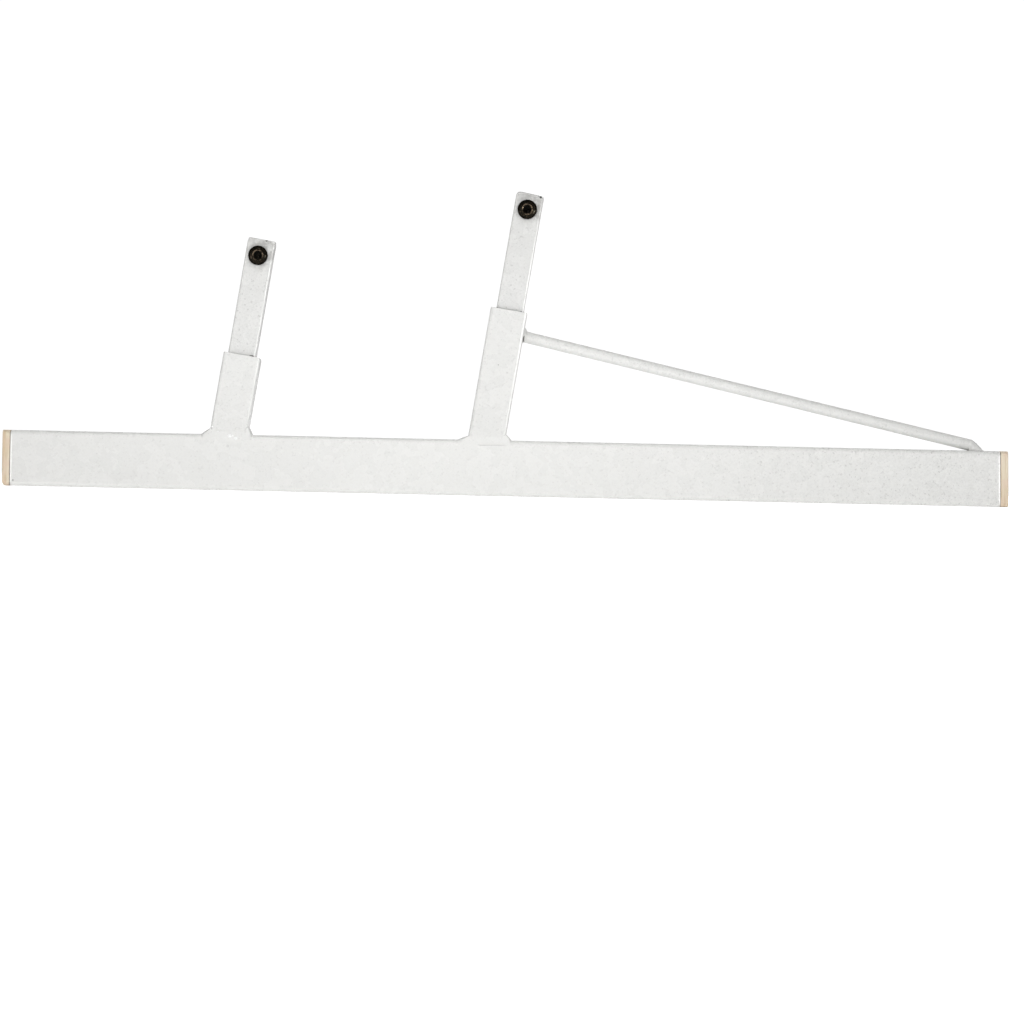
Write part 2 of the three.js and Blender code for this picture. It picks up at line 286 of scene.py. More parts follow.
class Shader:
    """A node material that is written as a list of nodes and links."""

    def __init__(self, name):
        self.material = bpy.data.materials.new(name)
        self.material.use_nodes = True
        self.tree = self.material.node_tree
        self.surface = self.tree.nodes["Principled BSDF"]
        self.coords = self.node("ShaderNodeTexCoord").outputs["Object"]

    def node(self, kind, inputs=None, **settings):
        made = self.tree.nodes.new(kind)
        for key, value in settings.items():
            setattr(made, key, value)
        for key, value in (inputs or {}).items():
            self.feed(made.inputs[key], value)
        return made

    def feed(self, socket, value):
        if isinstance(value, bpy.types.NodeSocket):
            self.tree.links.new(value, socket)
        else:
            socket.default_value = value

    def noise(self, size, detail=2.0, roughness=0.5, squeeze=None, distortion=0.0):
        """Noise with features of a size in metres. squeeze divides that size along each axis."""
        vector = self.coords
        if squeeze:
            vector = self.node("ShaderNodeMapping", {"Vector": vector, "Scale": squeeze}).outputs["Vector"]
        inputs = {"Vector": vector, "Scale": 1 / size, "Detail": detail}
        inputs |= {"Roughness": roughness, "Distortion": distortion}
        return self.node("ShaderNodeTexNoise", inputs).outputs["Fac"]

    def ramp(self, value, low, high, to_low=0.0, to_high=1.0):
        """Maps a range to another, clamped and smooth."""
        inputs = {"Value": value, "From Min": low, "From Max": high, "To Min": to_low, "To Max": to_high}
        return self.node("ShaderNodeMapRange", inputs, interpolation_type="SMOOTHSTEP").outputs["Result"]

    def math(self, operation, a, b):
        return self.node("ShaderNodeMath", {0: a, 1: b}, operation=operation).outputs[0]

    def times(self, a, b):
        return self.math("MULTIPLY", a, b)

    def mix(self, factor, a, b):
        """Blends two colours."""
        made = self.node("ShaderNodeMix", data_type="RGBA")
        self.feed(made.inputs["Factor"], factor)
        self.feed(made.inputs["A"], a)
        self.feed(made.inputs["B"], b)
        return made.outputs["Result"]

    def distance(self, point):
        """How far the surface is from a point."""
        inputs = {0: self.coords, 1: point}
        return self.node("ShaderNodeVectorMath", inputs, operation="DISTANCE").outputs["Value"]

    def height_above(self, point, axis):
        """How far the surface is from a plane through a point, along the plane's axis."""
        offset = self.node("ShaderNodeVectorMath", {0: self.coords, 1: point}, operation="SUBTRACT")
        inputs = {0: offset.outputs["Vector"], 1: axis}
        return self.node("ShaderNodeVectorMath", inputs, operation="DOT_PRODUCT").outputs["Value"]

    def bump(self, height, depth, strength=1.0, normal=None):
        inputs = {"Height": height, "Distance": depth, "Strength": strength}
        if normal:
            inputs["Normal"] = normal
        return self.node("ShaderNodeBump", inputs).outputs["Normal"]

    def creases(self, reach, own=False):
        """1 in tight creases, 0 in the open. own leaves out the creases made with other pieces."""
        made = self.node("ShaderNodeAmbientOcclusion", {"Distance": reach}, samples=8, only_local=own)
        return self.ramp(made.outputs["AO"], 0.25, 0.85, 1.0, 0.0)

    def done(self, color, roughness, normal=None, metallic=0.0):
        self.feed(self.surface.inputs["Base Color"], color)
        self.feed(self.surface.inputs["Roughness"], roughness)
        self.feed(self.surface.inputs["Metallic"], metallic)
        if normal:
            self.feed(self.surface.inputs["Normal"], normal)
        return self.material


def white_paint(name, grit, tone=1.0, gloss=0.22, **marked):
    """Sprayed white paint: fine orange peel, grey dust caught in it, and shade in the creases.

    grit sets how much dust shows and tone darkens the whole coat. Any of these may mark it as well:
    grit_at_end, the grit at the arm's brace end; clean_at, a (point, reach) that the paint is painted
    whiter towards, as painted light; smoke_at, a point with a noisy grey patch round it; line, a dark line
    of painted shade where a plane meets the piece, as (point, plane's axis, reach from the point, strength),
    which on a post also reads as a dirty line; marks, (point, radius, strength) dark spots, which are stains
    and painted shade where gaps and holes show; drops, (point, radius) spots painted white as a painted
    highlight;
    and own_creases, which leaves the creases made with other pieces without painted shade."""
    s = Shader(name)
    clean = (0.80 * tone, 0.80 * tone, 0.782 * tone, 1)
    dusty = (0.60, 0.60, 0.585, 1)
    speck = (0.36, 0.355, 0.345, 1)
    shade = (0.34, 0.335, 0.33, 1)
    # steel darkens the marks: stains, and painted shade in gaps and holes
    steel = (0.045, 0.042, 0.040, 1)
    # This white is painted light: towards a point, and as a highlight on spatter drops.
    painted_light = (0.98, 0.98, 0.98, 1)
    patch_grey = (0.42, 0.415, 0.40, 1)
    if "grit_at_end" in marked:
        along = s.node("ShaderNodeSeparateXYZ", {0: s.coords}).outputs["X"]
        grit = s.ramp(along, 0.0, arm_high.x, grit, marked["grit_at_end"])
    clouds = s.ramp(s.noise(90 * MM, 2.0), 0.35, 0.7, 0.0, 0.06)
    color = s.mix(clouds, clean, dusty)
    # painted light: whiter towards a point
    if "clean_at" in marked:
        point, reach = marked["clean_at"]
        color = s.mix(s.ramp(s.distance(point), 0.0, reach, 0.16, 0.0), color, painted_light)
    dust = s.ramp(s.noise(2.2 * MM, 3.0, 0.8), 0.40, 0.68, 0.0, 0.55)
    color = s.mix(s.times(dust, grit), color, dusty)
    specks = s.ramp(s.noise(2.4 * MM, 1.0, 0.5), 0.62, 0.74, 0.0, 0.5)
    color = s.mix(s.times(specks, grit), color, speck)
    # a noisy grey patch round a point
    if "smoke_at" in marked:
        near = s.ramp(s.distance(marked["smoke_at"]), 8 * MM, 26 * MM, 1.0, 0.0)
        smoke = s.times(near, s.ramp(s.noise(8 * MM, 4.0, 0.6), 0.36, 0.60, 0.05, 0.9))
        color = s.mix(smoke, color, patch_grey)
    # painted shade: a dark line where a plane meets the piece, such as a gap's or a low step's shadow
    if "line" in marked:
        point, axis, reach, strength = marked["line"]
        height = s.math("ABSOLUTE", s.height_above(point, axis), 0.0)
        painted_shadow = s.ramp(height, 0.35 * MM, 1.0 * MM, strength, 0.0)
        painted_shadow = s.times(painted_shadow, s.ramp(s.noise(7 * MM, 2.0), 0.3, 0.6, 0.45, 1.0))
        painted_shadow = s.times(painted_shadow, s.ramp(s.distance(point), reach * 0.8, reach, 1.0, 0.0))
        color = s.mix(painted_shadow, color, shade)
    creases = s.creases(3 * MM, marked.get("own_creases", False))
    color = s.mix(s.times(creases, 0.8), color, shade)
    # dark spots: stains, and painted shade where gaps and holes show
    for point, radius, strength in marked.get("marks", ()):
        color = s.mix(s.ramp(s.distance(point), radius * 0.6, radius, strength, 0.0), color, steel)
    # painted highlight on the spatter drops
    for point, radius in marked.get("drops", ()):
        color = s.mix(s.ramp(s.distance(point), radius, radius * 1.25, 0.9, 0.0), color, painted_light)
    peel = s.bump(s.noise(2.6 * MM, 1.0), 0.10 * MM, 0.5)
    grain = s.bump(s.noise(0.7 * MM, 2.0), 0.03 * MM, 0.35, normal=peel)
    roughness = s.ramp(s.noise(18 * MM, 3.0), 0.3, 0.7, gloss, gloss + 0.1)
    return s.done(color, roughness, grain)


def pale_wood():
    """Bare sawn softwood whose grain runs up the block, with end grain on its top."""
    s = Shader("pale_wood")
    pale = (0.77, 0.68, 0.53, 1)
    honey = (0.62, 0.47, 0.30, 1)
    pink = (0.74, 0.58, 0.46, 1)
    crease_shade = (0.16, 0.11, 0.07, 1)
    rings = s.noise(4 * MM, 3.0, 0.55, squeeze=(1.0, 1.0, 0.06), distortion=0.4)
    color = s.mix(s.ramp(rings, 0.42, 0.66, 0.0, 0.8), pale, honey)
    color = s.mix(s.ramp(s.noise(11 * MM, 3.0), 0.42, 0.68, 0.0, 0.65), color, pink)
    fibres = s.noise(0.7 * MM, 3.0, 0.6, squeeze=(1.0, 1.0, 0.05))
    color = s.mix(s.ramp(fibres, 0.55, 0.8, 0.0, 0.35), color, honey)
    # painted shade in the creases and in the gap at the tube's end
    color = s.mix(s.times(s.creases(2 * MM), 0.4), color, crease_shade)
    normal = s.bump(fibres, 0.12 * MM, 0.6)
    return s.done(color, s.ramp(fibres, 0.3, 0.7, 0.62, 0.8), normal)


def black_oxide(name, socket):
    """Oiled black oxide steel, brown round the socket's mouth from wear and as a painted highlight, and
    blacker where no light reaches.

    socket is the middle of the socket's mouth."""
    outward = Vector((0, -1, 0))
    s = Shader(f"{name}_black_oxide")
    black = (0.009, 0.009, 0.007, 1)
    brown = (0.050, 0.036, 0.025, 1)
    wear_and_sheen = (0.20, 0.15, 0.105, 1)
    unlit = (0.002, 0.002, 0.002, 1)
    handled = s.noise(1.6 * MM, 3.0, 0.6)
    color = s.mix(s.ramp(handled, 0.42, 0.72, 0.0, 0.7), black, brown)
    away = s.distance(socket)
    height = s.height_above(socket, outward)
    # brown wear round the socket's mouth, lightened as a painted highlight on its chamfer
    rim = s.times(s.ramp(away, 4.6 * MM, 5.2 * MM), s.ramp(away, 5.7 * MM, 6.5 * MM, 1.0, 0.0))
    rim = s.times(rim, s.ramp(height, -1.6 * MM, -1.1 * MM))
    wear_and_sheen_mask = s.times(rim, s.ramp(s.noise(4 * MM, 2.0), 0.42, 0.60, 0.05, 0.8))
    color = s.mix(wear_and_sheen_mask, color, wear_and_sheen)
    in_socket = s.ramp(away, 6.0 * MM, 6.6 * MM, 1.0, 0.0)
    deep = s.ramp(height, -2.4 * MM, -1.2 * MM, 1.0, 0.0)
    patchy = s.ramp(s.noise(3.2 * MM, 2.0), 0.42, 0.56, 0.35, 0.95)
    color = s.mix(s.times(s.times(in_socket, deep), patchy), color, unlit)
    color = s.mix(s.ramp(away, 4.3 * MM, 4.9 * MM, 0.7, 0.0), color, unlit)
    color = s.mix(s.creases(5 * MM), color, unlit)
    normal = s.bump(s.noise(0.35 * MM, 2.0), 0.012 * MM, 0.5)
    s.feed(s.surface.inputs["Specular Tint"], (0.22, 0.19, 0.15, 1))
    return s.done(color, s.ramp(handled, 0.3, 0.7, 0.20, 0.32), normal, metallic=0.9)


def dull_steel(name, steel, stain_strength):
    """Bare steel gone dull, darker where paint dust and rust have settled."""
    s = Shader(name)
    rust = (0.07, 0.04, 0.025, 1)
    stain = s.noise(2.5 * MM, 3.0, 0.6)
    color = s.mix(s.ramp(stain, 0.4, 0.7, 0.0, stain_strength), steel, rust)
    normal = s.bump(s.noise(0.4 * MM, 2.0), 0.02 * MM, 0.5)
    return s.done(color, s.ramp(stain, 0.3, 0.7, 0.4, 0.7), normal, metallic=0.8)


# ---------- arm


def along_x(origin, turn=1):
    """A frame whose Z runs along the arm, towards the brace end or away from it."""
    return axes_matrix(origin, Vector((0, 0, -turn)), Vector((0, 1, 0)), Vector((turn, 0, 0)))


def along_y(origin, turn=1):
    """A frame whose Z runs across the arm, away from the flush side or out of it."""
    return axes_matrix(origin, Vector((0, 0, 1)), Vector((turn, 0, 0)), Vector((0, turn, 0)))


BRAD_HOLE_ROOM = 0.12 * MM
# how much of each brad's width shows under the paint
BRADS = {"rear_brad_flush_side": 0.65, "rear_brad_back_side": 1.0, "brace_end_brad_back_side": 1.0}


def brad_place(node):
    """A brad's frame, pointing out of the wall with its origin at the brad's outer end, and its radius."""
    low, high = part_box(node)
    centre = (low + high) / 2
    side = 1 if centre.y > 0 else -1
    tip = high.y if side > 0 else low.y
    return along_y(Vector((centre.x, tip, centre.z)), side), (high.x - low.x) / 2 * BRADS[node]


def arm_tube(material):
    """The square arm, its ends bevelled, with a hole for each brad."""
    half = (arm_high.z - arm_low.z) / 2
    length = arm_high.x - arm_low.x
    place = along_x(Vector((arm_low.x, arm_centre.y, arm_centre.z)))
    edge = [(0.0, ARM_BEVEL_LENGTH + 0.2 * MM), (0.04 * MM, ARM_BEVEL_LENGTH)]  # the bevel starts softly
    edge += [(ARM_BEVEL_DEPTH + inset, setback) for inset, setback in quarter_arc(0.35 * MM)]

    def brace_end(x, y):
        return length + ARM_OUT_OF_SQUARE * (half + x) / (2 * half)

    section = (half, ARM_CORNER, ARM_WALL)
    made = square_tube("arm_tube_painted", place, section, lambda x, y: 0.0, brace_end, edge)
    cutters = []
    for node in BRADS:
        hole, radius = brad_place(node)
        radius += BRAD_HOLE_ROOM
        profile = [(radius, -2 * ARM_WALL), (radius, 0), (1.2 * radius, 1.5 * MM)]
        cutters.append(lathe("brad_hole", hole, profile, 32))
    smooth(cut(made, *cutters))
    return finish_piece(made, material, "frame", "white_paint", "arm_tube")


def brad(node, material):
    """A headless brad, its end hammered slightly domed."""
    place, radius = brad_place(node)
    gap = 0.02 * MM
    radius += BRAD_HOLE_ROOM - gap
    low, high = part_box(node)
    length = high.y - low.y
    dome_height = 0.25 * radius
    dome_steps = (0, 0.4, 0.8, 1.2, 1.45)
    dome = [(radius * math.cos(a), dome_height * (math.sin(a) - 1)) for a in dome_steps]
    profile = [(radius * 0.1, -length), (radius, -length + radius), *dome]
    made = smooth(lathe(f"{node}_steel", place, profile, 24))
    return finish_piece(made, material, "frame", "bare_steel", node)


def end_block(node, material, soft_corner):
    """A wooden plug: a tenon in the tube, and a flange with hand-eased edges as large as the tube.

    soft_corner is how far its outer bottom edge is rounded over."""
    low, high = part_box(node)
    outward = 1 if low.x > 0 else -1
    inner, outer = (low.x, high.x) if outward > 0 else (high.x, low.x)
    tube_end = arm_high.x if outward > 0 else arm_low.x
    half = (high.z - low.z) / 2
    place = along_x(Vector((inner, arm_centre.y, arm_centre.z)), outward)
    tenon_half = half - ARM_WALL - 0.35 * MM
    tenon_corner = ARM_CORNER - ARM_WALL
    lead, gap = 1.5 * MM, 0.5 * MM
    shoulder = abs(tube_end - inner) + gap
    length = abs(outer - inner)
    ease = 0.9 * MM
    askew = ARM_OUT_OF_SQUARE if outward > 0 else 0.0

    def ring(block_half, corner, height, bite=0.0, setback=0.0):
        points = []
        for x, y in rounded_square(block_half, corner):
            down = x * outward / block_half  # the frame's X points down the block at the brace end
            low_edge = max(0.0, (down - 0.4) / 0.6) ** 3
            reach = ease + soft_corner * low_edge
            squeeze = 1 - bite * reach / block_half
            z = height - setback * reach + askew * (1 + down) / 2 * (height >= shoulder)
            sway = 0.12 * MM * wobble(Vector((x, y, height)), 20 * MM, 3.0)
            points.append(place @ Vector((x * squeeze, y * squeeze, z + sway * (setback > 0 or bite > 0))))
        return points

    rings = [
        ring(tenon_half - lead, tenon_corner, 0),
        ring(tenon_half, tenon_corner, lead),
        ring(tenon_half, tenon_corner, shoulder - 0.01 * MM),
        ring(half - gap, ARM_CORNER, shoulder),
        ring(half, ARM_CORNER, shoulder + gap),
    ]
    for bite, setback in quarter_arc(1.0, 6):
        rings.append(ring(half, ARM_CORNER, length, bite, setback))
    for share in (0.9, 0.7, 0.45, 0.2):
        face = rounded_square(half * share, ARM_CORNER * share)
        rings.append([place @ Vector((x, y, length + askew * (1 + x / half) / 2)) for x, y in face])
    made = smooth(solid(f"{node}_wood", rings), 50)
    return finish_piece(made, material, "frame", "wood", node)


# ---------- posts


def sleeve(name, material, hammered):
    """A painted sleeve. hammered is the radius that its mouth's fore corner is knocked down to."""
    sunk = 0.2 * MM  # its foot is pushed into the arm this far
    place = PLACES[name]
    low, high = extent(f"{name}_sleeve", place)
    half = (high.x - low.x) / 2
    slope = -(place.to_3x3() @ Vector((1, 0, 0))).z / lean_axis.z

    def mouth(x, y):
        past = max(0.0, x - (half - hammered))
        return high.z - hammered + math.sqrt(max(0.0, hammered**2 - 0.98 * past**2))

    section = (half, SLEEVE_CORNER, SLEEVE_WALL)
    made = smooth(square_tube(f"{name}_sleeve_painted", place, section, lambda x, y: x * slope - sunk, mouth))
    return finish_piece(made, material, "frame", "white_paint", f"{name}_sleeve")


def screw_place(name):
    """The screw's frame: its origin on the post's flush face and its Z out of it."""
    low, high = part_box(f"{name}_post_screw")
    post_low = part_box(f"{name}_inner_post")[0]
    return along_y(Vector(((low.x + high.x) / 2, post_low.y, (low.z + high.z) / 2)), -1)


def inner_post(name, material):
    """The tube that slides in a sleeve, with a clear hole for the screw in front and a smaller one behind."""
    place = PLACES[name]
    low, high = extent(f"{name}_inner_post", place)
    half = (high.y - low.y) / 2
    centre = place @ Matrix.Translation((low.x + half, 0, 0))
    section = (half, POST_CORNER, POST_WALL)
    ends = (lambda x, y: low.z, lambda x, y: high.z)
    made = square_tube(f"{name}_inner_post_painted", centre, section, *ends)
    hole = screw_place(name)
    back = -2 * half
    clear = THREAD_MAJOR + 0.3 * MM
    ease = 0.4 * MM
    front_hole = [(clear, -half), (clear, -ease), (clear + 2 * ease, ease)]
    narrow = THREAD_MAJOR - 0.75 * MM
    back_hole = [(narrow + 2 * ease, back - ease), (narrow, back + ease), (narrow, -half)]
    smooth(cut(made, lathe("front_hole", hole, front_hole), lathe("back_hole", hole, back_hole)))
    return finish_piece(made, material, f"{name}_post", "white_paint", f"{name}_inner_post")


def cap_middle(name):
    """A cap's own frame, at the middle of its post, with its half width and its top's height."""
    low, high = extent(f"{name}_post_cap", PLACES[name])
    half = (high.y - low.y) / 2
    return PLACES[name] @ Matrix.Translation((low.x + half, 0, 0)), half, high.z


def dressed_down(across, half):
    """What share of its full fall a cap's top has reached at a distance past its middle."""
    return max(0.0, across / half) ** 1.6


def pinhole_places(name, fall, pinholes):
    """Where pinholes open on the flush edge of a cap, from (across, radius) about its middle."""
    centre, half, top = cap_middle(name)
    places = []
    for across, radius in pinholes:
        height = top - fall * dressed_down(across, half) - radius
        places.append((centre @ Vector((across, -half, height)), radius))
    return places


def post_cap(name, material, rear_round, fore_round, fall, pinholes):
    """The welded plate on an inner post, its edges dressed round, with pinholes left in the weld.

    rear_round and fore_round are the radii of those two edges. fall is how far the fore edge is dressed
    below the middle. pinholes lists (across, radius) from the middle."""
    centre, half, top = cap_middle(name)
    seat = extent(f"{name}_inner_post", PLACES[name])[1].z
    narrowed = 0.45 * MM
    rings = []

    def add(share, height, inset=0.0, setback=0.0):
        ring = []
        for x, y in rounded_square(half - narrowed, POST_CORNER):
            edge = rear_round + (fore_round - rear_round) * (x / half + 1) / 2
            squeeze = share * (1 - inset * edge / half)
            wave = 0.12 * MM * wobble(Vector((x, y, 0)), 9 * MM, 5.0)
            lift = wave - fall * dressed_down(x * squeeze, half)
            z = height - setback * edge + lift * (height > seat)
            ring.append(centre @ Vector((x * squeeze, y * squeeze, z)))
        rings.append(ring)

    add(0.97, seat - 2 * MM)
    add(1.0, seat - 0.05 * MM)
    for inset, setback in quarter_arc(1.0, 8):
        add(1.0, top, inset, setback)
    for share in (0.8, 0.55, 0.3, 0.1):
        add(share, top, 1.0)
    made = solid(f"{name}_post_cap_painted", rings)
    turn = PLACES[name].to_3x3().to_4x4()
    for point, radius in pinhole_places(name, fall, pinholes):
        notch = Matrix.Translation(point) @ turn
        slit = [(radius * 0.6, -1.2 * MM), (radius, 0), (radius * 1.2, 2 * MM)]
        cut(made, lathe("pinhole", notch, slit, 16))
    smooth(made, 40)
    return finish_piece(made, material, f"{name}_post", "white_paint", f"{name}_post_cap")


def thread_radius(angle, height, offset=0.0):
    """The radius of an M12 thread's flank at a point, with its crests and roots flattened."""
    phase = (height / THREAD_PITCH - angle / math.tau) % 1.0
    wave = abs(2 * phase - 1)
    share = min(1.0, max(0.0, (wave - 0.12) / 0.70))
    return THREAD_MINOR + (THREAD_MAJOR - THREAD_MINOR) * share + offset


def thread_rings(place, start, end, steps=48, offset=0.0, limit=None):
    """Rings that follow the thread from start to end. limit caps the radius at a height, for a chamfer."""
    count = max(2, round(abs(end - start) / (THREAD_PITCH / 10)))
    rings = []
    for i in range(count + 1):
        height = start + (end - start) * i / count
        ring = []
        for x, y, angle in ring_points(1.0, steps):
            radius = thread_radius(angle, height, offset)
            if limit:
                radius = min(radius, limit(height))
            ring.append(place @ Vector((radius * x, radius * y, height)))
        rings.append(ring)
    return rings


def screw(name, material):
    """An M12 button-head socket screw with a real thread, crown and hexagon socket."""
    place = screw_place(name)
    low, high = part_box(f"{name}_post_screw")
    post_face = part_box(f"{name}_inner_post")[0].y
    head_radius = (high.x - low.x) / 2
    head_top = post_face - low.y
    tip = -(high.y - post_face)
    seat = 0.05 * MM
    neck = -1.2 * MM
    steps = ROUND_STEPS

    def chamfer(height):
        return THREAD_MAJOR - max(0.0, THREAD_PITCH - (height - tip)) * 0.8

    rings = [round_ring(place, THREAD_MINOR * 0.5, tip, steps)]
    rings += thread_rings(place, tip, neck, steps, limit=chamfer)
    shank, run_out = THREAD_MINOR + 0.2 * MM, 0.3 * MM
    rings += [round_ring(place, shank, height, steps) for height in (neck + run_out, seat - run_out)]
    rim = 1.3 * MM
    flat = SOCKET_ACROSS * 0.66
    profile = [(THREAD_MAJOR, seat), (head_radius - 0.5 * MM, seat)]
    profile += [(head_radius - 0.1 * MM, seat + 0.25 * MM), (head_radius, seat + 0.6 * MM)]
    crown_steps = 14
    for i in range(crown_steps + 1):
        angle = i / crown_steps * math.pi / 2
        reach = flat + (head_radius - flat) * math.cos(angle)
        profile.append((reach, rim + (head_top - rim) * math.sin(angle)))
    sunk = head_top - 0.02 * MM
    profile += [(flat * 0.97, sunk), (1 * MM, sunk)]
    rings += [round_ring(place, radius, height, steps) for radius, height in profile]
    made = solid(f"{name}_post_screw_black", rings)
    smooth(cut(made, *socket_cutters(place, head_top)), 32)
    return finish_piece(made, material, f"{name}_screw", "black_screw", f"{name}_post_screw")


def socket_cutters(place, head_top):
    """A hexagon with a drilled point, and the countersink round its mouth."""
    hex_radius = SOCKET_ACROSS / 2 / math.cos(math.pi / 6)
    floor = head_top - SOCKET_DEPTH
    point = [(0.3 * MM, floor - 1.4 * MM), (hex_radius * 0.93, floor)]
    hexagon = [(hex_radius, floor), (hex_radius, head_top + MM)]
    mouth_slope = math.tan(math.radians(28))
    mouth_rim = hex_radius + 1.3 * MM
    mouth_root = hex_radius * 0.7
    above = head_top + 0.15 * MM
    mouth = [(mouth_root, above - (mouth_rim - mouth_root) * mouth_slope), (mouth_rim, above)]
    return lathe("socket", place, point + hexagon, 6), lathe("mouth", place, mouth, 48)


def thread_bush(name, material):
    """The bush inside the post, tapped right through."""
    low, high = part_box(f"{name}_post_bush")
    place = screw_place(name)
    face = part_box(f"{name}_inner_post")[0].y
    near, far = -(low.y - face), -(high.y - face)
    radius = (high.x - low.x) / 2
    steps = 48
    lead = 0.8 * MM
    bore = thread_rings(place, far + lead, near - lead, steps, offset=THREAD_CLEARANCE)
    wide = THREAD_MAJOR + 2 * THREAD_CLEARANCE
    ease = 0.5 * MM
    outline = [(wide, near), (radius - ease, near), (radius, near - ease)]
    outline += [(radius, far + ease), (radius - ease, far), (wide, far)]
    rings = bore + [round_ring(place, r, height, steps) for r, height in outline]
    made = smooth(solid(f"{name}_post_bush_steel", rings, closed=True), 40)
    return finish_piece(made, material, f"{name}_post", "bare_steel", f"{name}_post_bush")


# ---------- welds


def arm_surface(y):
    """The height of the arm's outside at a distance across it, round corner included."""
    half = (arm_high.y - arm_low.y) / 2
    over = max(0.0, abs(y - arm_centre.y) - (half - ARM_CORNER))
    over = min(over, ARM_CORNER)
    return arm_high.z - ARM_CORNER + math.sqrt(max(0.0, ARM_CORNER**2 - over**2))


def fillet_ring(root, out, up, base, run, rise, travel, seed):
    """One cross-section of a rippled fillet weld: out along the arm, up the wall, and buried behind."""
    bow = 0.03 * min(run, rise)
    ripple_pitch, ripple_height, lump_height = 2.3 * MM, 0.34 * MM, 0.28 * MM
    steps = 9
    toe_arm = root + out * run
    toe_wall = base + up * rise
    face = (toe_wall - toe_arm).normalized()
    normal = (out + up).normalized()
    normal = (normal - normal.dot(face) * face).normalized()
    ring = []
    for i in range(steps + 1):
        t = i / steps
        spot = toe_arm.lerp(toe_wall, t)
        crescent = travel / ripple_pitch - 1.1 * (t - 0.5) ** 2
        ripple = ripple_height * (abs(math.sin(math.pi * crescent)) - 0.6)
        lump = lump_height * wobble(spot, 5 * MM, seed)
        swell = math.sin(math.pi * t)
        ring.append(spot + normal * swell * (ripple + lump + bow))
    sink, bury = 0.5 * MM, 4 * MM
    ring += [toe_wall - out * sink * 2, base - out * bury + up * rise * 0.3]
    ring += [root - out * bury - UP * sink, toe_arm - UP * sink]
    return ring


def foot_outline(half):
    """(x, y, normal x, normal y) round a sleeve's foot: along its rear side, its back and its fore side."""
    inner = half - SLEEVE_CORNER
    spacing = 0.5 * MM
    bend_steps = 12
    outline = []

    def side(start, end, normal):
        count = round(math.dist(start, end) / spacing)
        for i in range(count):
            x, y = (a + (b - a) * i / count for a, b in zip(start, end))
            outline.append((x, y, *normal))

    def bend(middle, first_angle):
        for i in range(bend_steps):
            angle = first_angle - i / bend_steps * math.pi / 2
            nx, ny = math.cos(angle), math.sin(angle)
            outline.append((middle + SLEEVE_CORNER * nx, inner + SLEEVE_CORNER * ny, nx, ny))

    side((-half, -half), (-half, inner), (-1, 0))
    bend(-inner, math.pi)
    side((-inner, half), (inner, half), (0, 1))
    bend(inner, math.pi / 2)
    side((half, inner), (half, -half), (1, 0))
    outline.append((half, -half, 1, 0))
    return outline


def sleeve_bead(name, rear, fore, back):
    """The fillet around three sides of a sleeve's foot. rear, fore and back are its (run, rise) on each."""
    place = PLACES[name]
    turn = place.to_3x3()
    half = extent(f"{name}_sleeve", place)[1].x
    seed = 1.0 + len(name)
    rings = []
    travel = 0.0
    last = None
    for x, y, nx, ny in foot_outline(half):
        side = rear if nx < 0 else fore
        ease = 1 + 0.10 * wobble(Vector((x, y, 0)), 9 * MM, seed + 1)
        run, rise = (ease * (side[i] * nx * nx + back[i] * ny * ny) for i in range(2))
        flat = turn @ Vector((x, y, 0)) + place.translation
        climb = (arm_high.z - flat.z) / lean_axis.z
        base = flat + climb * lean_axis
        root = Vector((base.x, base.y, arm_surface(base.y)))
        out = Vector((nx, ny, 0)).normalized()
        if last is not None:
            travel += (base - last).length
        last = base
        rings.append(fillet_ring(root, out, lean_axis, base, run, rise, travel, seed))
    return solid("bead", rings)


def dressed_face(name, reach_rear, reach_fore, proud, lip):
    """Weld metal ground level with the flush face, over the arm's round corner and the sleeve's foot.

    lip is how far a low step stands out along its lower edge, from a little behind the sleeve's middle to its
    fore side."""
    middle = foot(name).x
    half = extent(f"{name}_sleeve", PLACES[name])[1].x
    above, below, depth = 5 * MM, 6 * MM, 3.4 * MM
    taper = 0.8 * MM
    sunk = 0.25 * MM  # how far its edges lie below the flush face
    lip_behind, lip_ease, lip_height = 9 * MM, 3 * MM, 2.2 * MM
    columns, rows = 60, 26
    sharpness = 6
    lower_sharpness = 25 if lip else sharpness
    slope = lean_axis.x / lean_axis.z
    rings = []
    for row in range(rows + 1):
        v = row / rows
        z = arm_high.z - below + (above + below) * v
        flare = (1 - v) ** 1.5
        left = middle - half - reach_rear * flare + slope * (z - arm_high.z) + taper * v
        right = middle + half + reach_fore * flare + slope * (z - arm_high.z) - taper * v
        front, rear = [], []
        for column in range(columns + 1):
            u = column / columns
            x = left + (right - left) * u
            edge = min(1.0, sharpness * min(u, 1 - u, 1 - v), lower_sharpness * v)
            rub = 0.10 * MM * wobble(Vector((x, 0, z * 2.2)), 7 * MM, 7.0 + len(name))
            begun = min(1.0, max(0.0, (x - middle + lip_behind) / lip_ease))
            step = lip * begun * math.exp(-v * (above + below) / lip_height)
            front.append(Vector((x, flush_y + sunk - (proud + sunk + rub + step) * edge, z)))
            rear.append(Vector((x, flush_y + depth, z)))
        rings.append(front + rear[::-1])
    return solid("dressed", rings)


def blob(centre, radius, squash=1.0):
    """A drop of weld spatter."""
    bm = bmesh.new()
    bmesh.ops.create_icosphere(bm, subdivisions=3, radius=1.0)
    for vert in bm.verts:
        grow = 1 + 0.18 * wobble(vert.co * 4 * MM + centre, 3 * MM, 9.0)
        vert.co = centre + vert.co * Vector((1, squash, 1)) * radius * grow
    return mesh_object("blob", bm)


def spatter_points(name):
    """The (centre, radius) of each drop of spatter on the flush face, about a sleeve's foot."""
    drops = metres(LOOKS[name]["spatter"])
    return [(foot(name) + Vector((along, -0.1 * MM, up)), radius) for along, up, radius in drops]


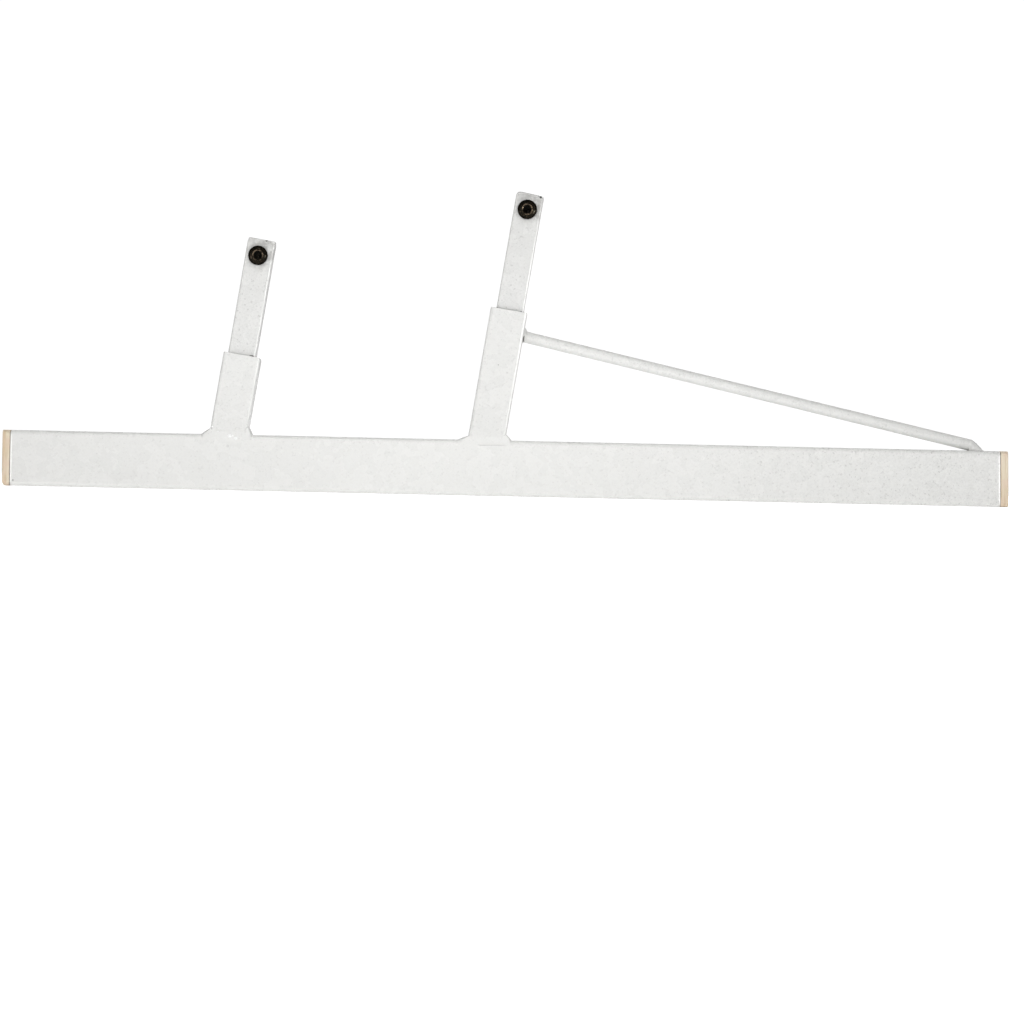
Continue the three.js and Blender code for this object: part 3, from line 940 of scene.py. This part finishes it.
def sleeve_weld(name, look, material):
    """All the weld at a sleeve's foot, with drops of spatter on the flush face."""
    rear, fore = metres(look["fillets"])
    ground = 0.75  # what share of the fillets' run is left on the flush face
    parts = [
        sleeve_bead(name, rear, fore, (7 * MM, 7 * MM)),
        dressed_face(name, ground * rear[0], ground * fore[0], metres(look["proud"]), metres(look["lip"])),
    ]
    for centre, radius in spatter_points(name):
        parts.append(blob(centre, radius, 0.9))
    made = fused(f"{name}_sleeve_weld_painted", parts, rounds=1)
    return finish_piece(made, material, "frame", "white_paint", f"{name}_sleeve_weld")


# ---------- brace

rod_low, rod_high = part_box("brace_rod")
rod_radius = (rod_high.y - rod_low.y) / 2


def brace_line():
    """The two ends of the brace's centre line with its direction and upward normal, from the CAD rod."""
    points = [v.co for v in frame["nodes"]["brace_rod"].data.vertices]
    top = max(points, key=lambda p: p.z)
    far = max(points, key=lambda p: p.x)
    direction = Vector((far.x - top.x, 0, far.z - top.z)).normalized()
    normal = Vector((-direction.z, 0, direction.x))
    y = (rod_low.y + rod_high.y) / 2
    start = Vector((top.x, y, top.z)) - normal * rod_radius
    finish = Vector((far.x, y, far.z)) - normal * rod_radius
    length = (finish - start).dot(direction)
    return start, start + direction * length, direction, normal


def sleeve_wall():
    """A point on the tall sleeve's fore wall, and that wall's outward normal."""
    tall = PLACES["tall"]
    reach = extent("tall_sleeve", tall)[1].x
    return tall @ Vector((reach, 0, 0)), (tall.to_3x3() @ Vector((1, 0, 0))).normalized()


rod_start, rod_end, rod_axis, rod_normal = brace_line()


def brace_rod(material):
    """The round brace: its upper end meets the sleeve at a slight angle, so a gap is left under the weld."""
    place = axes_matrix(rod_start, rod_normal, rod_axis.cross(rod_normal), rod_axis)
    length = (rod_end - rod_start).length
    wall, wall_normal = sleeve_wall()
    radius = rod_radius + 0.15 * MM  # with its paint

    def upper_end(x, y, inset, setback):
        under = (1 - x) / 2  # 0 at the top of the bar's end, 1 at its bottom
        gap = (0.25 + 0.3 * under) * MM
        ease = (0.5 + 1.4 * under) * MM
        reach = radius - ease * inset
        across = place @ Vector((x * reach, y * reach, 0))
        to_wall = (wall - across).dot(wall_normal) / rod_axis.dot(wall_normal)
        return reach, to_wall + gap + ease * setback

    def middle(x, y, height, _):
        dent = 0.05 * MM * wobble(Vector((x * radius, y * radius, height)), 30 * MM, 4.0)
        return radius + dent, height

    def lower_end(x, y, inset, setback):
        over = (1 + x) / 2  # 1 at the top of the bar's end
        ease = (0.6 + 1.0 * over) * MM
        return radius - ease * inset, length - ease * setback

    bays = 60
    first, last = 6 * MM, length - 3 * MM
    sections = [(upper_end, *edge) for edge in reversed(quarter_arc(1.0, 6))]
    sections += [(middle, first + (last - first) * i / bays, None) for i in range(1, bays)]
    sections += [(lower_end, *edge) for edge in quarter_arc(1.0, 6)]
    rings = []
    for shape, *edge in sections:
        ring = []
        for x, y, _ in ring_points(1.0, ROUND_STEPS):
            reach, height = shape(x, y, *edge)
            point = place @ Vector((x * reach, y * reach, height))
            point.z = max(point.z, arm_high.z - 0.1 * MM)
            ring.append(point)
        rings.append(ring)
    made = smooth(solid("brace_rod_painted", rings), 50)
    return finish_piece(made, material, "frame", "white_paint", "brace_rod")


def brace_upper_weld(material):
    """A fillet over the top of the brace where it meets the tall sleeve, thinning down both sides."""
    wall, wall_normal = sleeve_wall()
    across = Vector((0, 1, 0))
    climb = (lean_axis - lean_axis.dot(wall_normal) * wall_normal).normalized()
    meet = rod_start + rod_axis * ((wall - rod_start).dot(wall_normal) / rod_axis.dot(wall_normal))
    sections = 60
    from_degrees, sweep_degrees = -85, 260
    rise, run, least = 4.6 * MM, 3.6 * MM, 0.5 * MM
    bury, tuck = 1.2 * MM, 0.4 * MM
    rings = []
    for i in range(sections + 1):
        share = i / sections
        angle = math.radians(from_degrees + sweep_degrees * share)
        strength = math.sin(math.pi * share) ** 0.6
        out = (across * math.cos(angle) + climb * math.sin(angle)).normalized()
        root = meet + out * rod_radius
        up_wall = rise * strength + least
        along = run * strength + least
        ripple = 1 + 0.10 * math.sin(share * 26) + 0.12 * wobble(root, 4 * MM, 6.0)
        toe_wall = root + out * up_wall * ripple - wall_normal * tuck
        toe_rod = root + rod_axis * along * ripple - out * tuck
        middle = (toe_wall + toe_rod) / 2
        swell = (out + rod_axis).normalized() * 0.25 * MM * strength
        ring = [toe_wall, toe_wall.lerp(middle, 0.5) + swell * 0.7, middle + swell]
        ring += [toe_rod.lerp(middle, 0.5) + swell * 0.7, toe_rod]
        buried = root - out * bury
        ring += [buried + rod_axis * 0.3 * along, buried - wall_normal * 0.6 * MM]
        rings.append(ring)
    made = fused("brace_upper_weld_painted", [solid("collar", rings)], BRACE_WELD_VOXEL)
    return finish_piece(made, material, "frame", "white_paint", "brace_upper_weld")


def weld_girth(angle):
    """How far out the lower weld's side is at an angle round it: round above, spread onto the arm below."""
    across = math.cos(angle)
    if math.sin(angle) > 0:
        return math.copysign(abs(across) ** 0.8, across)
    return math.copysign(abs(across) ** 0.3, across) * (1 - 0.12 * math.sin(angle))


def weld_tongue(y_mid, toe):
    """The weld over the brace's cut end: it leaves the brace's top and turns down to the arm at the toe."""
    top = rod_end + rod_normal * rod_radius
    start = rod_end.x - 2.0 * MM
    turn_down = top.x - 0.2 * MM
    sole = arm_high.z - 0.5 * MM
    lump_height, ripple_height = 0.35 * MM, 0.14 * MM
    bays, steps = 44, 44
    rings = []
    for bay in range(bays + 1):
        u = bay / bays
        x = start + (toe - start) * u
        past = min(1.0, max(0.0, (x - turn_down) / (toe - turn_down)))
        crest = top.z + 0.15 * MM + min(0.0, x - top.x) * rod_axis.z
        crest = arm_high.z + (crest - arm_high.z) * (1 - past**1.2)
        middle, tall = (crest + sole) / 2, (crest - sole) / 2 + 0.1 * MM
        wide = (rod_radius + 0.25 * MM) * (1 - 0.28 * past**1.5)
        tuck = min(1.0, 0.90 + 0.80 * u)  # the first rings hide inside the brace
        ring = []
        for _, _, angle in ring_points(1.0, steps):
            out = Vector((0, math.cos(angle), math.sin(angle)))
            y = y_mid + wide * tuck * weld_girth(angle)
            spot = Vector((x, y, middle + tall * tuck * out.z))
            lump = lump_height * wobble(spot, 2.6 * MM, 8.0) + ripple_height * math.sin(u * 40 + out.y)
            ring.append(spot + out * lump * min(1.0, 5 * u))
        rings.append(ring)
    return solid("tongue", rings)


def weld_behind_brace(y_mid):
    """The bead that grows along the back of the brace, towards its cut end."""
    length = 3.5 * MM
    bays, steps = 23, 24
    rings = []
    for bay in range(bays + 1):
        u = bay / bays
        spot = rod_end - rod_axis * length * (1 - u)
        centre = Vector((spot.x, y_mid + 3.4 * MM, arm_high.z + (0.3 + 0.8 * u) * MM))
        lump = 1 + 0.10 * wobble(centre, 3 * MM, 3.0) + 0.06 * math.sin(u * 38)
        radius = (0.5 + 2.4 * u) * MM * lump
        rings.append([centre + Vector((0, y, z)) for y, z, _ in ring_points(radius, steps)])
    return solid("behind", rings)


def brace_lower_weld(material):
    """Weld that caps the brace's cut end, runs down to the arm's top, and fills in behind the brace."""
    low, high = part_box("brace_lower_weld")
    y_mid = (low.y + high.y) / 2
    toe = high.x
    drop = blob(Vector((toe - 4 * MM, y_mid - 6.5 * MM, arm_high.z + 0.2 * MM)), 0.9 * MM)
    parts = [weld_tongue(y_mid, toe), weld_behind_brace(y_mid), drop]
    made = fused("brace_lower_weld_painted", parts, BRACE_WELD_VOXEL, rounds=1)
    return finish_piece(made, material, "frame", "white_paint", "brace_lower_weld")


# ---------- the bracket


# Each post's look, with sizes in mm. tone and sleeve_tone darken the two paints. painted_shadow is how strong
# the painted shade line at the sleeve's mouth is (it also reads as a dirty line on the post), gap_shade_spots
# are (across, radius) of the dark spots painted there as shade where the gap shows, and hammered is the
# radius of its fore corner. stain is a spot on the sleeve, as (along, up, radius, strength) about its foot.
# cap is post_cap's (rear_round, fore_round, fall, pinholes). fillets are the weld's (run, rise) on the rear
# and fore sides, proud and lip shape its dressed face, and spatter lists its drops as (along, up, radius).
LOOKS = {
    "short": {
        "tone": 0.92,
        "sleeve_tone": 0.985,
        "painted_shadow": 0.45,
        "gap_shade_spots": [(-15, 1.6), (9.4, 1.5), (10.6, 1.6), (11.8, 1.6)],
        "hammered": 4,
        "stain": (24.0, 73.2, 1.6, 0.10),
        "cap": (1.9, 0.8, 0.4, [(5.1, 0.7)]),
        "fillets": ((8.5, 6.5), (5, 8)),
        "proud": 0.22,
        "lip": 0.0,
        "spatter": [
            (1.6, -1.6, 1.9),
            (5.4, -1.0, 0.9),
            (8.6, -3.7, 1.6),
            (-17.2, 8.0, 1.3),
            (-10.7, 3.8, 0.9),
            (27.0, -4.8, 0.8),
        ],
    },
    "tall": {
        "tone": 0.86,
        "sleeve_tone": 0.95,
        "painted_shadow": 0.8,
        "gap_shade_spots": [(-15, 1.8), (12.0, 1.2)],
        "hammered": 1.5,
        "stain": (11.1, 81.0, 0.9, 0.45),
        "cap": (3.6, 0.6, 2.0, [(11.6, 0.95), (8.7, 0.6)]),
        "fillets": ((10.5, 4.2), (6.5, 6.2)),
        "proud": 0.12,
        "lip": 1.2,
        "spatter": [],
    },
}


def metres(sizes):
    """Sizes given in mm, in lists or alone, as metres."""
    if isinstance(sizes, (list, tuple)):
        return [metres(size) for size in sizes]
    return sizes * MM


def stain(name, along, up, radius, strength):
    """A dark spot on the flush face, in mm about a post's foot, as white_paint takes it."""
    return foot(name) + Vector((along, 0, up)) * MM, radius * MM, strength


def post_paint(name, look):
    """Dusty paint with a grey patch beside the screw, painted light towards the sleeve's mouth, and painted
    shade: a dark line at the mouth that also reads as a dirty line on the post, dark spots where the gap
    shows there, and shade in the pinholes.
    """
    place = PLACES[name]
    mouth_up = extent(f"{name}_sleeve", place)[1].z
    mouth = place @ Vector((0, 0, mouth_up))
    low, high = extent(f"{name}_inner_post", place)
    middle = (low.x + high.x) / 2
    marks = []
    # painted shade: dark spots where the gap shows at the sleeve's mouth
    for across, radius in metres(look["gap_shade_spots"]):
        marks.append((place @ Vector((middle + across, low.y, mouth_up)), radius, 0.9))
    *_, fall, pinholes = metres(look["cap"])
    # painted shade in the pinholes
    for point, radius in pinhole_places(name, fall, pinholes):
        marks.append((point, radius * 2.0, 0.95))
    return white_paint(
        f"{name}_post_paint",
        grit=0.8,
        tone=look["tone"],
        # painted light: the post is painted whiter towards the sleeve's mouth
        clean_at=(mouth, 0.1),
        smoke_at=screw_place(name).translation + Vector((6, 0, 4)) * MM,
        # painted shade of the gap at the sleeve's mouth, which rides on the post as a dirty line
        line=(mouth, lean_axis, 1.0, look["painted_shadow"]),
        marks=marks,
    )


def upright(name, look, bush_steel):
    """A sleeve with its inner post, cap, bush and screw. Gives back all but the hidden bush."""
    stains = [stain(name, *look["stain"])]
    sleeve_paint = white_paint(f"{name}_sleeve_paint", grit=0.45, tone=look["sleeve_tone"], marks=stains)
    paint = post_paint(name, look)
    shown = [sleeve(name, sleeve_paint, metres(look["hammered"])), inner_post(name, paint)]
    shown.append(post_cap(name, paint, *metres(look["cap"])))
    thread_bush(name, bush_steel)
    socket = screw_place(name).translation
    socket.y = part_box(f"{name}_post_screw")[0].y
    shown.append(screw(name, black_oxide(name, socket)))
    return shown


def build_bracket():
    """Builds every piece, and gives back the ones that stand on the arm."""
    arm_stains = [stain("short", -0.3, -12.4, 1.9, 0.16)]
    arm_tube(white_paint("arm_paint", grit=0.34, grit_at_end=0.85, marks=arm_stains, own_creases=True))
    brad_steel = dull_steel("brad_steel", (0.55, 0.54, 0.52, 1), 0.3)
    for node in BRADS:
        brad(node, brad_steel)
    wood = pale_wood()
    end_block("rear_end_block", wood, soft_corner=3.0 * MM)
    end_block("brace_end_block", wood, soft_corner=0.3 * MM)

    bush_steel = dull_steel("bush_steel", (0.16, 0.15, 0.14, 1), 0.8)
    uprights = []
    for name, look in LOOKS.items():
        uprights += upright(name, look, bush_steel)

    # painted shade along the low step at the foot of the tall weld's dressed face
    lip_shadow = (foot("tall") + Vector((7, 0, -5.9)) * MM, UP, 18 * MM, 0.3)
    # the short weld's spatter drops get a painted highlight
    weld_marks = {"short": {"drops": spatter_points("short")}, "tall": {"line": lip_shadow}}
    for name, look in LOOKS.items():
        weld_paint = white_paint(f"{name}_weld_paint", grit=0.3, gloss=0.14, **weld_marks[name])
        sleeve_weld(name, look, weld_paint)

    brace_rod(white_paint("brace_paint", grit=0.45, tone=0.975))
    brace_weld_paint = white_paint("brace_weld_paint", grit=0.5, tone=0.95, gloss=0.36, own_creases=True)
    brace_upper_weld(brace_weld_paint)
    brace_lower_weld(brace_weld_paint)
    return uprights


# ---------- studio


def white_floor():
    """A plain white floor. It looks brighter to the camera than the light it gives back."""
    bm = bmesh.new()
    bmesh.ops.create_grid(bm, x_segments=1, y_segments=1, size=9)
    floor = mesh_object("floor", bm)
    floor.location.z = arm_low.z - 0.2 * MM
    s = Shader("floor_white")
    s.surface.inputs["Specular IOR Level"].default_value = 0.0
    is_camera = s.node("ShaderNodeLightPath").outputs["Is Camera Ray"]
    s.feed(s.surface.inputs["Emission Color"], (1, 1, 1, 1))
    glow, glow_to_camera = 0.3, 0.75
    s.feed(s.surface.inputs["Emission Strength"], s.ramp(is_camera, 0, 1, glow, glow_to_camera))
    floor.data.materials.append(s.done((0.86, 0.86, 0.86, 1), 1.0))


def white_surround():
    """White behind the object, and a dimmer white as the light that reaches it."""
    world = bpy.data.worlds.new("surround")
    world.use_nodes = True
    bpy.context.scene.world = world
    tree = world.node_tree
    background = tree.nodes["Background"]
    background.inputs["Color"].default_value = (1, 1, 1, 1)
    path = tree.nodes.new("ShaderNodeLightPath")
    strength = tree.nodes.new("ShaderNodeMapRange")
    strength.inputs["To Min"].default_value = 0.333
    strength.inputs["To Max"].default_value = 1.05
    tree.links.new(path.outputs["Is Camera Ray"], strength.inputs["Value"])
    tree.links.new(strength.outputs["Result"], background.inputs["Strength"])


def soft_light(name, where, target, width, height, watts, reflected=True, lights_paint=True):
    """A softbox that the camera doesn't see. It is reflected, or lights the paint, or both."""
    lamp = bpy.data.lights.new(name, "AREA")
    lamp.shape = "RECTANGLE"
    lamp.size = width
    lamp.size_y = height
    lamp.energy = watts
    made = bpy.data.objects.new(name, lamp)
    made.location = where
    made.rotation_mode = "QUATERNION"
    made.rotation_quaternion = (Vector(target) - Vector(where)).to_track_quat("-Z", "Y")
    made.visible_camera = False
    made.visible_glossy = reflected
    made.visible_diffuse = lights_paint
    bpy.context.scene.collection.objects.link(made)
    return made


def falls_only_on(lamp, pieces):
    """Keeps a lamp's light to some of the pieces, as a card held close to them would."""
    lit = bpy.data.collections.new(f"{lamp.name}_lit")
    for piece in pieces:
        lit.objects.link(piece)
    lamp.light_linking.receiver_collection = lit


def studio(uprights):
    """Soft light from all round, and small lamps that only show as glints on edges and corners."""
    white_floor()
    white_surround()
    soft_light("front_key", (-0.02, -0.95, 0.3), (-0.02, 0, 0.06), 0.7, 0.7, 3.1, reflected=False)
    soft_light("right_fill", (2.2, -2.4, 1.2), (0, 0, 0.1), 1.0, 1.0, 13, reflected=False)
    soft_light("front_fill", (-0.6, -6.5, 1.6), (0, 0, 0.1), 3.0, 3.0, 16.5, reflected=False)
    soft_light("sparkle", (-0.3, -1.5, 1.5), (0, 0, 0.05), 0.3, 0.3, 3.2)
    soft_light("right_strip", (2.6, -2.4, 0.2), (0.1, 0, 0.1), 0.3, 0.5, 3.5, lights_paint=False)
    soft_light("left_strip", (-2.8, -2.2, 0.8), (-0.1, 0, 0.1), 0.3, 1.5, 11)
    glint = soft_light("fore_glint", (0.9, -0.485, 0.1), (0.0, 0, 0.12), 0.336, 0.2, 7, lights_paint=False)
    falls_only_on(glint, uprights)
    beside = Vector((arm_high.x + 190 * MM, flush_y - 232 * MM, arm_centre.z - 1 * MM))
    beyond = Vector((arm_high.x, flush_y, arm_centre.z))
    soft_light("end_glint", beside, beyond, 0.17, 0.05, 0.65, lights_paint=False)
    soft_light("rear_glint", (-0.9, -0.485, 0.05), (-0.3, 0, 0.03), 0.336, 0.1, 1.2, lights_paint=False)
    below = Vector((-0.475, flush_y - 4 * MM, arm_low.z - 0.1 * MM))
    upward = Vector((0, 0.1, 1))
    soft_light("foot_glint", below, below + upward, 0.14, 0.012, 0.008, lights_paint=False)
    soft_light("back_fill", (0.5, 3.4, 2.0), (0, 0, 0.1), 2.4, 2.4, 90, reflected=False)


def camera():
    """A long lens straight at the flush face, rolled as little as the object lies askew."""
    eye_back = 5.375
    aim = Vector((8.2 * MM, flush_y, -16.6 * MM))
    eye = Vector((aim.x, flush_y - eye_back, 27 * MM))
    roll = 0.0218
    lens = bpy.data.cameras.new("camera")
    lens.lens = 176.0
    lens.sensor_width = 36
    lens.clip_end = 60
    made = bpy.data.objects.new("camera", lens)
    forward = (aim - eye).normalized()
    right = Vector((math.cos(roll), 0, math.sin(roll)))
    up = right.cross(forward).normalized()
    made.matrix_world = axes_matrix(eye, right, up, -forward)
    bpy.context.scene.collection.objects.link(made)
    bpy.context.scene.camera = made


bpy.context.scene.view_settings.view_transform = "Standard"
studio(build_bracket())
camera()
